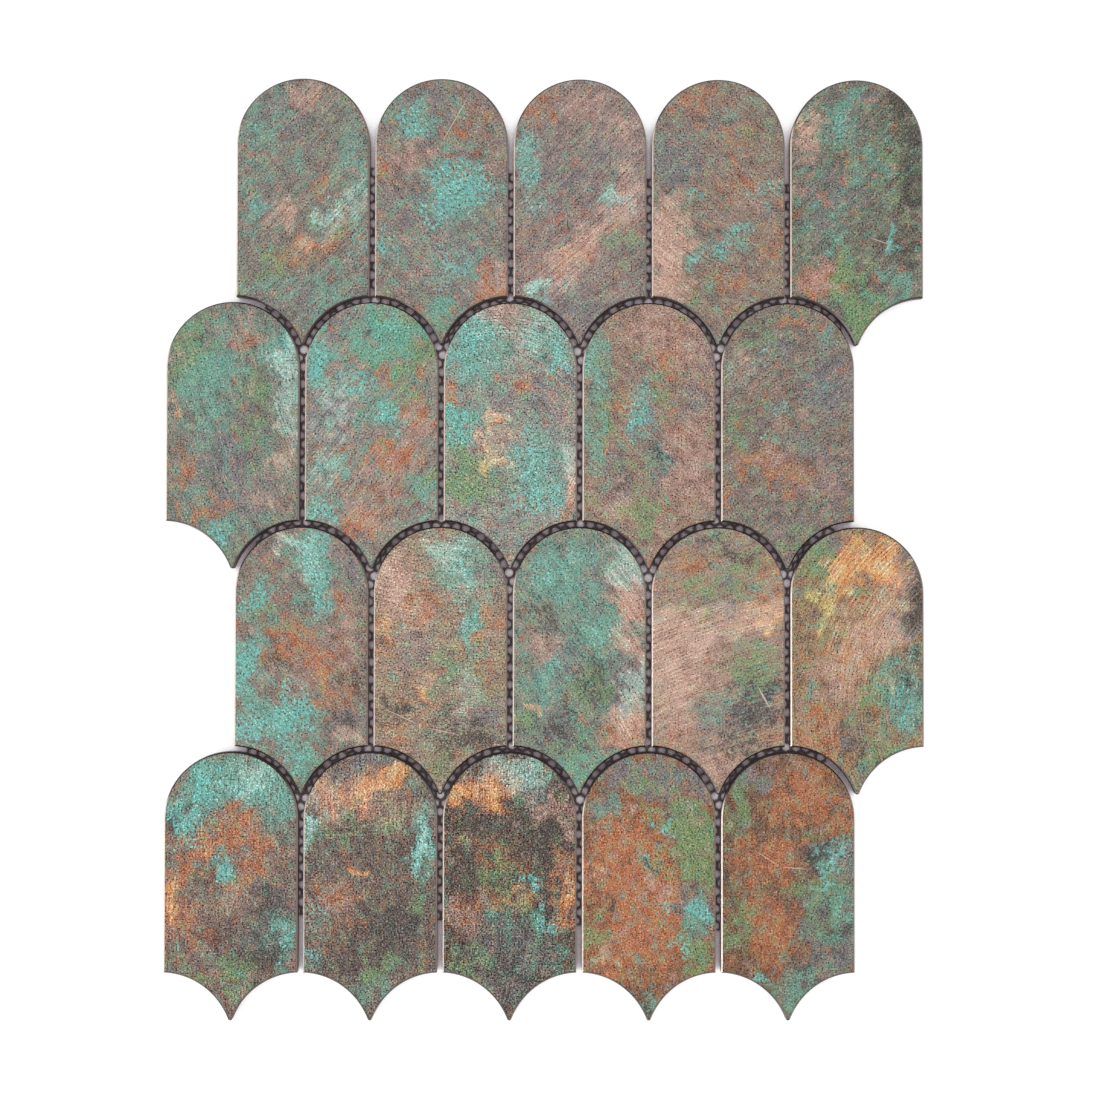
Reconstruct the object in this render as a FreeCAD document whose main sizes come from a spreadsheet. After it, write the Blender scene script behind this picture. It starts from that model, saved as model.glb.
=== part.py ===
# Fish scale mosaic sheet: round-topped metal scales in staggered rows, glued to one backing net.
# X runs along a row, Y up the sheet towards the domes, and Z out of the finished face.
# The origin is under the middle of the sheet, in the plane that beds on the wall.
import FreeCAD
import Part
import Sketcher

import math
import os

# The driving dimensions, in millimetres and counts: alias, value, meaning.
DIMENSIONS = (
    ("chip_width", 48.0, "one scale, flank to flank"),
    ("flank_length", 55.0, "straight side of a scale, from its dome to its shoulder"),
    ("joint", 2.0, "open grout joint between neighbouring scales"),
    ("chip_thickness", 4.0, "one scale, from its back to its finished face"),
    ("edge_bevel", 0.5, "bevel round the finished face, both across it and down"),
    ("tip_radius", 0.8, "rounding of the point at the foot of a scale"),
    ("columns", 5, "scales in a row"),
    ("rows", 4, "rows in a sheet"),
    ("net_thickness", 0.5, "backing net under the scales"),
    ("net_side_margin", 32.0, "from the end of the longest reach of a row in to the net"),
    ("net_end_margin", 34.0, "from the highest dome or the lowest tip in to the net"),
)

# Lengths that follow from the sheet, as expressions on its aliases.
DOME_RADIUS = "(sheet.chip_width / 2)"
SCALLOP_RADIUS = "(sheet.chip_width / 2 + sheet.joint)"
COLUMN_PITCH = "(sheet.chip_width + sheet.joint)"
# A scallop is struck from the middle of the dome below it, so both keep the joint all the way round.
SHOULDER_RISE = f"sqrt({SCALLOP_RADIUS}^2 - (sheet.joint / 2)^2)"
ROW_PITCH = f"(sheet.flank_length + {SHOULDER_RISE})"
# The rounded tip touches the two scallops beside it, and its lowest point lies on the axis of the scale.
TIP_RISE = f"(sqrt(({SCALLOP_RADIUS} + sheet.tip_radius)^2 - ({COLUMN_PITCH} / 2)^2) - sheet.tip_radius)"
CHIP_LENGTH = f"({DOME_RADIUS} + {ROW_PITCH} - {TIP_RISE})"
# Every second row is set half a pitch aside, so the sheet reaches that much further than one row.
SHEET_WIDTH = f"(sheet.columns * {COLUMN_PITCH} - sheet.joint + {COLUMN_PITCH} / 2)"
SHEET_LENGTH = f"((sheet.rows - 1) * {ROW_PITCH} + {CHIP_LENGTH})"
NET_WIDTH = f"({SHEET_WIDTH} - 2 * sheet.net_side_margin)"
NET_LENGTH = f"({SHEET_LENGTH} - 2 * sheet.net_end_margin)"

UP = FreeCAD.Vector(0, 0, 1)
# Numbers that a sketch uses for its own origin and upright axis, and for the points of its curves.
SKETCH_ROOT, Y_AXIS = range(-1, -3, -1)
START, END, CENTRE = range(1, 4)


def make_dimension_sheet(doc):
    """Write the driving dimensions to a spreadsheet, one aliased number in each row."""
    sheet = doc.addObject("Spreadsheet::Sheet", "sheet")
    for number, (alias, value, meaning) in enumerate(DIMENSIONS, start=1):
        sheet.set(f"A{number}", meaning)
        sheet.set(f"B{number}", str(value))
        sheet.setAlias(f"B{number}", alias)
    doc.recompute()
    return sheet


def draw_scale(body, sheet):
    """Sketch one scale about the middle of its dome: dome, two flanks, two scallops and the rounded tip."""
    sketch = body.newObject("Sketcher::SketchObject", "outline")
    base = next(plane for plane in body.Origin.OriginFeatures if plane.Role == "XY_Plane")
    sketch.AttachmentSupport = [(base, "")]
    sketch.MapMode = "FlatFace"

    # The curves start out in their true places, worked out from the sheet, and the constraints hold them there.
    dome_radius = sheet.chip_width / 2
    scallop_radius = dome_radius + sheet.joint
    half_pitch = (sheet.chip_width + sheet.joint) / 2
    shoulder_rise = math.sqrt(scallop_radius**2 - (sheet.joint / 2) ** 2)
    row_pitch = sheet.flank_length + shoulder_rise
    shoulder_angle = math.atan2(shoulder_rise, sheet.joint / 2)
    tip_centre_rise = math.sqrt((scallop_radius + sheet.tip_radius) ** 2 - half_pitch**2)
    tip_angle = math.atan2(tip_centre_rise, half_pitch)

    def arc(x, y, radius, first, last):
        circle = Part.Circle(FreeCAD.Vector(x, y, 0), UP, radius)
        return sketch.addGeometry(Part.ArcOfCircle(circle, first, last))

    def flank(side):
        top = FreeCAD.Vector(side * dome_radius, 0, 0)
        return sketch.addGeometry(Part.LineSegment(top, top - FreeCAD.Vector(0, sheet.flank_length, 0)))

    dome = arc(0, 0, dome_radius, 0, math.pi)
    right_flank, left_flank = flank(1), flank(-1)
    right_scallop = arc(half_pitch, -row_pitch, scallop_radius, math.pi - shoulder_angle, math.pi - tip_angle)
    left_scallop = arc(-half_pitch, -row_pitch, scallop_radius, tip_angle, shoulder_angle)
    tip = arc(0, tip_centre_rise - row_pitch, sheet.tip_radius, math.pi + tip_angle, 2 * math.pi - tip_angle)

    # Dome: struck from the sketch's origin, running into both flanks without a corner.
    sketch.addConstraint(
        [
            Sketcher.Constraint("Coincident", dome, CENTRE, SKETCH_ROOT, START),
            Sketcher.Constraint("Tangent", dome, START, right_flank, START),
            Sketcher.Constraint("Tangent", dome, END, left_flank, START),
            Sketcher.Constraint("Vertical", right_flank),
            Sketcher.Constraint("Vertical", left_flank),
            Sketcher.Constraint("Equal", right_flank, left_flank),
        ]
    )
    # Scallops: mirror images, each from a sharp shoulder to the tip, which so lies on the axis of the scale.
    sketch.addConstraint(
        [
            Sketcher.Constraint("Coincident", right_flank, END, right_scallop, START),
            Sketcher.Constraint("Coincident", left_flank, END, left_scallop, END),
            Sketcher.Constraint("Tangent", right_scallop, END, tip, END),
            Sketcher.Constraint("Tangent", left_scallop, START, tip, START),
            Sketcher.Constraint("Symmetric", right_scallop, CENTRE, left_scallop, CENTRE, Y_AXIS),
        ]
    )

    def bind(name, constraint, expression):
        index = sketch.addConstraint(constraint)
        sketch.renameConstraint(index, name)
        sketch.setExpression(f"Constraints.{name}", expression)

    bind("dome_radius", Sketcher.Constraint("Radius", dome, dome_radius), DOME_RADIUS)
    bind("flank_length", Sketcher.Constraint("Distance", right_flank, sheet.flank_length), "sheet.flank_length")
    bind("scallop_radius", Sketcher.Constraint("Radius", right_scallop, scallop_radius), SCALLOP_RADIUS)
    bind("tip_radius", Sketcher.Constraint("Radius", tip, sheet.tip_radius), "sheet.tip_radius")
    half_pitch_width = Sketcher.Constraint("DistanceX", SKETCH_ROOT, START, right_scallop, CENTRE, half_pitch)
    bind("half_pitch", half_pitch_width, f"{COLUMN_PITCH} / 2")
    return sketch


def finished_face(shape):
    """Name of the flat face on top of a scale, the one that lies highest."""
    heights = [face.CenterOfMass.z for face in shape.Faces]
    return f"Face{heights.index(max(heights)) + 1}"


def make_scale(doc, sheet, row, column):
    """One scale of the sheet: its outline padded to a plate, with a bevel round the finished face."""
    body = doc.addObject("PartDesign::Body", "scale")
    body.Label = f"scale_row{row + 1}_col{column + 1}"

    pad = body.newObject("PartDesign::Pad", "plate")
    pad.Profile = draw_scale(body, sheet)
    pad.setExpression("Length", "sheet.chip_thickness")
    doc.recompute()

    bevel = body.newObject("PartDesign::Chamfer", "edge_bevel")
    bevel.Base = (pad, [finished_face(pad.Shape)])
    bevel.setExpression("Size", "sheet.edge_bevel")

    # The first row and every second one after it stand to the right, the others to the left.
    shift = "+" if row % 2 == 0 else "-"
    across = f"({column} - (sheet.columns - 1) / 2) * {COLUMN_PITCH} {shift} {COLUMN_PITCH} / 4"
    body.setExpression("Placement.Base.x", across)
    body.setExpression("Placement.Base.y", f"{SHEET_LENGTH} / 2 - {DOME_RADIUS} - {row} * {ROW_PITCH}")
    body.setExpression("Placement.Base.z", "sheet.net_thickness")
    return body


def make_net(doc):
    """The backing net as a plain thin sheet, cut short of the sheet's outline on all four sides."""
    net = doc.addObject("Part::Box", "net")
    net.Label = "backing_net"
    net.setExpression("Length", NET_WIDTH)
    net.setExpression("Width", NET_LENGTH)
    net.setExpression("Height", "sheet.net_thickness")
    net.setExpression("Placement.Base.x", f"-{NET_WIDTH} / 2")
    net.setExpression("Placement.Base.y", f"-{NET_LENGTH} / 2")
    return net


def check_document(doc, pieces):
    """Stop if an object failed to compute or a piece has no sound solid."""
    for thing in doc.Objects:
        if "Invalid" in thing.State or "Error" in thing.State:
            raise RuntimeError(f"{thing.Label} failed to compute: {thing.State}")
    for piece in pieces:
        if piece.Shape.isNull() or not piece.Shape.isValid() or piece.Shape.Volume <= 0:
            raise RuntimeError(f"{piece.Label} has no sound solid")


def main():
    doc = FreeCAD.newDocument("fish_scale_sheet")
    sheet = make_dimension_sheet(doc)
    places = [(row, column) for row in range(int(sheet.rows)) for column in range(int(sheet.columns))]
    pieces = [make_scale(doc, sheet, row, column) for row, column in places]
    pieces.append(make_net(doc))
    doc.recompute()
    check_document(doc, pieces)
    os.makedirs("parts", exist_ok=True)
    for piece in pieces:
        piece.Shape.exportStep(os.path.join("parts", f"{piece.Label}.step"))


main()
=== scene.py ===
"""Looks of a fish scale mosaic sheet: copper and verdigris on brushed scales, and the black net behind them.

Lengths on the sheet are in millimetres, and those of the studio in metres. On a scale, u runs to the right
and v up from the middle of its dome.
"""

import logging
import math
from collections.abc import Iterator
from dataclasses import dataclass, field
from enum import Enum
from typing import Any, Union

import bmesh
import bpy
from mathutils import Matrix, Vector


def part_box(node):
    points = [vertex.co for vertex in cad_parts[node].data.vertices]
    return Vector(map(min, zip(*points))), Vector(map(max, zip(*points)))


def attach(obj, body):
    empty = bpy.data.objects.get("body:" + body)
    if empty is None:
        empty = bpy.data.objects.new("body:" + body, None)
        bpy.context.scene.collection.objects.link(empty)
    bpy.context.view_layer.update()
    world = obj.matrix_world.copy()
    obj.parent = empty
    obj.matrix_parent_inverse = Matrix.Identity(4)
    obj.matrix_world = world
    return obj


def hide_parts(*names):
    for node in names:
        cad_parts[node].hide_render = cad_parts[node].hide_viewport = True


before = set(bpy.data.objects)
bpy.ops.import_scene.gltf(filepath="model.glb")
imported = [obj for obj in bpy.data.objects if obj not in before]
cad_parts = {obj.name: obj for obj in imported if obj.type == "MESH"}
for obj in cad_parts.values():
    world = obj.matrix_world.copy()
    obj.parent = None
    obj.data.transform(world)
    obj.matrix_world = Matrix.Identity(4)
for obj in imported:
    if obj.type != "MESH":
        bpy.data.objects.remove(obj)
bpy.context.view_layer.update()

LOG = logging.getLogger("fish_scale_sheet")
MM = 0.001

Rgb = tuple[float, float, float]
Blots = tuple[tuple[float, ...], ...]
Setting = Union["Wire", float, tuple[float, ...]]


def ink(red: float, green: float, blue: float) -> tuple[float, float, float, float]:
    """Turn a colour as it looks on screen, 0 to 255, into the linear one that a shader takes.

    Args:
        red: Red part, 0 to 255.
        green: Green part, 0 to 255.
        blue: Blue part, 0 to 255.

    Returns:
        The linear colour with full alpha.
    """
    parts = [value / 255 for value in (red, green, blue)]
    linear = [value / 12.92 if value <= 0.04045 else ((value + 0.055) / 1.055) ** 2.4 for value in parts]
    return linear[0], linear[1], linear[2], 1.0


# Shader nodes


class Wire:
    """One output in a node tree. Sums written with it add their Math nodes."""

    def __init__(self, graph: "Graph", socket: bpy.types.NodeSocket) -> None:
        """Keep the tree and the output socket."""
        self.graph = graph
        self.socket = socket

    def output(self, name: str) -> "Wire":
        """Another output of the same node."""
        return Wire(self.graph, self.socket.node.outputs[name])

    def math(self, operation: str, *values: Setting) -> "Wire":
        """Add one Math node.

        Args:
            operation: The node's operation.
            values: What goes into its sockets, in order.

        Returns:
            The node's result.
        """
        return self.graph.node("ShaderNodeMath", {"operation": operation}, dict(enumerate(values)))

    def __add__(self, other: Setting) -> "Wire":
        """Sum."""
        return self.math("ADD", self, other)

    def __radd__(self, other: Setting) -> "Wire":
        """Sum, the wire second."""
        return self.math("ADD", other, self)

    def __sub__(self, other: Setting) -> "Wire":
        """Difference."""
        return self.math("SUBTRACT", self, other)

    def __rsub__(self, other: Setting) -> "Wire":
        """Difference, the wire second."""
        return self.math("SUBTRACT", other, self)

    def __mul__(self, other: Setting) -> "Wire":
        """Product."""
        return self.math("MULTIPLY", self, other)

    def __rmul__(self, other: Setting) -> "Wire":
        """Product, the wire second."""
        return self.math("MULTIPLY", other, self)

    def __lt__(self, other: Setting) -> "Wire":
        """1 where the wire is less, else 0."""
        return self.math("LESS_THAN", self, other)

    def __abs__(self) -> "Wire":
        """Value without its sign."""
        return self.math("ABSOLUTE", self)

    def most(self, other: Setting) -> "Wire":
        """The greater of two values."""
        return self.math("MAXIMUM", self, other)

    def ramp(self, start: float, end: float, low: float = 0.0, high: float = 1.0) -> "Wire":
        """Ease from one level to another.

        Args:
            start: The value at which the result is low.
            end: The value at which the result is high.
            low: Result up to the start.
            high: Result from the end on.

        Returns:
            The eased value.
        """
        levels = {"Value": self, "From Min": start, "From Max": end, "To Min": low, "To Max": high}
        return self.graph.node("ShaderNodeMapRange", {"interpolation_type": "SMOOTHSTEP"}, levels)


class Graph:
    """A node tree that is written from Python."""

    MIX_FACTOR, MIX_A, MIX_B, MIX_RESULT = 0, 6, 7, 2

    def __init__(self, tree: bpy.types.NodeTree) -> None:
        """Start from an empty tree."""
        self.tree = tree
        tree.nodes.clear()

    def node(
        self,
        kind: str,
        settings: dict[str, Any] | None = None,
        sockets: dict[str | int, Setting] | None = None,
        output: str | int = 0,
    ) -> Wire:
        """Add one node.

        Args:
            kind: The node's type.
            settings: Attributes of the node, set first.
            sockets: Values or wires for its inputs, by name or number.
            output: The output that is wanted.

        Returns:
            That output. A node without outputs gives its first input.
        """
        node = self.tree.nodes.new(kind)
        for name, value in (settings or {}).items():
            setattr(node, name, value)
        for name, value in (sockets or {}).items():
            if isinstance(value, Wire):
                self.tree.links.new(value.socket, node.inputs[name])
            else:
                node.inputs[name].default_value = value
        return Wire(self, node.outputs[output] if node.outputs else node.inputs[0])

    def mix(self, factor: Setting, under: Setting, over: Setting, blend: str = "MIX") -> Wire:
        """Mix two colours.

        Args:
            factor: How much of the upper colour shows.
            under: The lower colour.
            over: The upper colour.
            blend: The way they mix.

        Returns:
            The mixed colour.
        """
        settings = {"data_type": "RGBA", "blend_type": blend}
        sockets = {self.MIX_FACTOR: factor, self.MIX_A: under, self.MIX_B: over}
        return self.node("ShaderNodeMix", settings, sockets, self.MIX_RESULT)

    def vector(self, operation: str, *vectors: Setting, output: int = 0) -> Wire:
        """Add one Vector Math node.

        Args:
            operation: The node's operation.
            vectors: What goes into its sockets, in order.
            output: 0 for a vector, 1 for a number.

        Returns:
            The node's result.
        """
        return self.node("ShaderNodeVectorMath", {"operation": operation}, dict(enumerate(vectors)), output)

    def noise(self, place: Wire, size: float, detail: float = 2.0, roughness: float = 0.5) -> Wire:
        """Flat noise.

        Args:
            place: Where it is read, in millimetres.
            size: Size of its largest blots, in millimetres.
            detail: How many finer layers it has.
            roughness: How strong those are.

        Returns:
            The noise as a number. Its colour is the output Color.
        """
        sockets = {"Vector": place, "Scale": 1 / size, "Detail": detail, "Roughness": roughness}
        return self.node("ShaderNodeTexNoise", {"noise_dimensions": "2D"}, sockets)

    def parts(self, vector: Wire) -> tuple[Wire, Wire, Wire]:
        """The three parts of a vector or colour."""
        split = self.node("ShaderNodeSeparateXYZ", sockets={0: vector})
        return split, split.output("Y"), split.output("Z")

    def join(self, x: Setting, y: Setting, z: Setting = 0.0) -> Wire:
        """A vector of three values."""
        return self.node("ShaderNodeCombineXYZ", sockets={0: x, 1: y, 2: z})

    def grey(self, value: Wire) -> Wire:
        """A grey of the given level."""
        return self.node("ShaderNodeCombineColor", sockets={0: value, 1: value, 2: value})

    def oval(self, place: Wire, middle: tuple[float, float], turn: float, half: tuple[float, float]) -> Wire:
        """A cone over an oval.

        Args:
            place: Where it is read.
            middle: The oval's middle.
            turn: Its turn, in radians.
            half: Its half sizes.

        Returns:
            1 in the middle, falling to 0 at the edge and outside.
        """
        laid = {"Location": (*middle, 0.0), "Rotation": (0.0, 0.0, turn), "Scale": (*half, 1.0)}
        at = self.node("ShaderNodeMapping", {"vector_type": "TEXTURE"}, {"Vector": place, **laid})
        return self.node("ShaderNodeTexGradient", {"gradient_type": "SPHERICAL"}, {"Vector": at}, "Fac")


def new_finish(name: str) -> tuple[bpy.types.Material, Graph]:
    """Make an empty material.

    Args:
        name: The material's name.

    Returns:
        The material and its node tree.
    """
    material = bpy.data.materials.new(name)
    material.use_nodes = True
    return material, Graph(material.node_tree)


def new_object(name: str, mesh: bmesh.types.BMesh, material: bpy.types.Material) -> bpy.types.Object:
    """Put a finished mesh into the scene.

    Args:
        name: The object's name.
        mesh: Its mesh, which is used up.
        material: Its material.

    Returns:
        The object.
    """
    data = bpy.data.meshes.new(name)
    mesh.to_mesh(data)
    mesh.free()
    data.materials.append(material)
    thing = bpy.data.objects.new(name, data)
    bpy.context.scene.collection.objects.link(thing)
    return thing


# Patina on scales


class Tone(Enum):
    """Colours of the patina, lowest layer first; gold, frost and blush are part colour, part painted sheen.
    """

    SLATE = "slate"
    COPPER = "copper"
    MOSS = "moss"
    VERDIGRIS = "verdigris"
    ROSE = "rose"
    BARK = "bark"
    TURQUOISE = "turquoise"
    GOLD = "gold"
    FROST = "frost"
    BLUSH = "blush"


@dataclass(frozen=True)
class Pigment:
    """How one tone looks.

    It has two shades. Softness is how gently it ends, stipple how far fine specks break it up, cover how much
    it hides, stray how much of it lies about outside its blooms, and reach how far the blooms fill out. A
    confined tone breaks up only inside its blooms. A tone with painted sheen is part colour and part painted
    highlight: it shows the brush marks too, and lightens what is under it.
    """

    deep: Rgb
    light: Rgb
    softness: float
    stipple: float
    cover: float
    stray: float = 0.0
    reach: float = 1.0
    confined: bool = False
    painted_sheen: bool = False


# Deep and light shade, softness, stipple, cover, stray, reach, confined, painted sheen.
PIGMENTS: dict[Tone, Pigment] = {
    Tone.SLATE: Pigment((102, 105, 111), (138, 141, 147), 0.95, 0.2, 0.80, 0.05),
    Tone.COPPER: Pigment((184, 108, 68), (208, 136, 96), 1.10, 0.2, 0.90, 0.0),
    Tone.MOSS: Pigment((98, 138, 90), (132, 168, 118), 1.10, 0.2, 0.90, 0.0),
    Tone.VERDIGRIS: Pigment((84, 150, 134), (122, 182, 166), 1.10, 0.3, 0.90, 0.04),
    Tone.ROSE: Pigment((172, 132, 120), (202, 164, 152), 1.10, 0.2, 0.88, 0.0),
    Tone.BARK: Pigment((42, 35, 33), (92, 78, 70), 0.75, 2.8, 0.84, -0.12, 1.15),
    Tone.TURQUOISE: Pigment((84, 182, 172), (130, 208, 200), 0.60, 2.6, 0.84, 0.13, 0.55, True),
    Tone.GOLD: Pigment((214, 128, 52), (240, 178, 100), 0.90, 0.8, 0.55, 0.0, 1.0, True, True),
    Tone.FROST: Pigment((148, 198, 184), (200, 228, 216), 1.10, 0.4, 0.38, 0.0, 1.25, True, True),
    Tone.BLUSH: Pigment((208, 150, 122), (234, 188, 160), 1.20, 0.4, 0.34, 0.0, 1.25, True, True),
}
# The tones whose strength differs from scale to scale.
COLOURED = (Tone.COPPER, Tone.MOSS, Tone.VERDIGRIS, Tone.ROSE, Tone.TURQUOISE)


@dataclass(frozen=True)
class Spot:
    """One bloom of a tone: its middle, its half sizes, its strength in percent, and its turn in degrees."""

    u: float
    v: float
    across: float
    along: float
    percent: float
    turn: float = 0.0


@dataclass(frozen=True)
class Scratch:
    """A pale hair-thin scratch from one point to another."""

    u0: float
    v0: float
    u1: float
    v1: float
    width: float = 0.22


@dataclass(frozen=True)
class Paint:
    """What is on one scale.

    It has a ground colour, the point its brush marks run round, how strong its colours are, how far it is
    brushed, how gritty it is, how far its colours run into one another, and its scratches. Then come the
    blooms of each tone, with the numbers of a Spot.
    """

    ground: Rgb
    brush: tuple[float, float]
    strength: float
    brushing: float
    grit: float = 1.0
    mingling: float = 1.0
    scratches: tuple[Scratch, ...] = ()
    slate: Blots = ()
    copper: Blots = ()
    moss: Blots = ()
    verdigris: Blots = ()
    rose: Blots = ()
    bark: Blots = ()
    turquoise: Blots = ()
    gold: Blots = ()
    frost: Blots = ()
    blush: Blots = ()

    def blooms(self, tone: Tone) -> list[Spot]:
        """The blooms of one tone."""
        return [Spot(*numbers) for numbers in getattr(self, tone.value)]
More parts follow.
